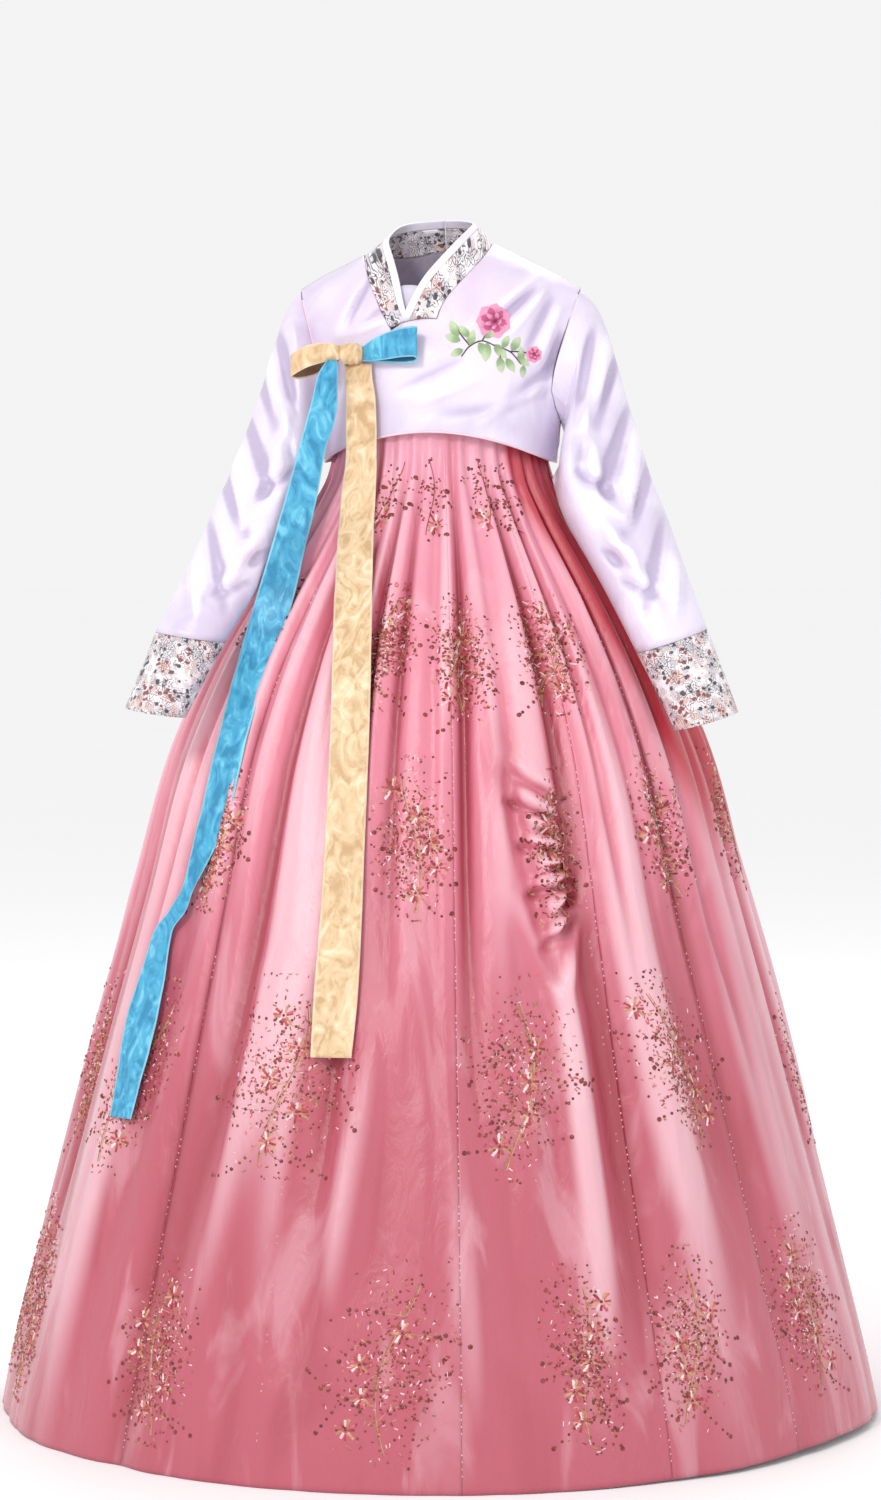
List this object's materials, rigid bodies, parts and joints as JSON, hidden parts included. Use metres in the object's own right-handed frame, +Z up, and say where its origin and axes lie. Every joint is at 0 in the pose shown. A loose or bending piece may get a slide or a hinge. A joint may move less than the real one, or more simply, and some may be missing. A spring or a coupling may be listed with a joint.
{
  "type": "korean hanbok",
  "caption": "Short wrapped jacket with patterned collar and cuffs over a full gathered skirt, tied with a two-colour ribbon bow, in its hollow worn shape",
  "frame": {"origin": "on the upright middle axis at the base of the neck, 1.36 m above the skirt hem, where the wearer holds the garment up", "axes": "+Z up, -Y the front of the garment, +X its left side"},
  "size_m": [1.043, 0.984, 1.4038],
  "materials": {
    "jacket_satin": "pale lilac-white satin, soft sheen",
    "skirt_satin": "rose-pink satin, soft sheen, sequin sprays",
    "collar_brocade": "woven floral brocade on white",
    "collar_edging": "plain pale satin edging",
    "band_cotton": "plain pale cotton",
    "ribbon_blue": "blue crushed satin",
    "ribbon_gold": "pale gold crushed satin"
  },
  "bodies": {
    "root": {"collar_edging_left": "collar_edging", "collar_edging_right": "collar_edging", "collar_left": "collar_brocade", "collar_right": "collar_brocade", "cuff_left": "collar_brocade", "cuff_right": "collar_brocade", "jacket_back_left": "jacket_satin", "jacket_back_right": "jacket_satin", "jacket_front_left": "jacket_satin", "jacket_front_right": "jacket_satin", "ribbon_knot": "ribbon_gold", "ribbon_loop_blue": "ribbon_blue", "ribbon_loop_gold": "ribbon_gold", "ribbon_tail_blue": "ribbon_blue", "ribbon_tail_gold": "ribbon_gold", "skirt_band": "band_cotton", "skirt_panel_1": "skirt_satin", "skirt_panel_2": "skirt_satin", "skirt_panel_3": "skirt_satin", "skirt_panel_4": "skirt_satin", "skirt_panel_5": "skirt_satin", "skirt_panel_6": "skirt_satin", "skirt_panel_7": "skirt_satin", "skirt_panel_8": "skirt_satin", "sleeve_left": "jacket_satin", "sleeve_right": "jacket_satin"}
  },
  "joints": []
}
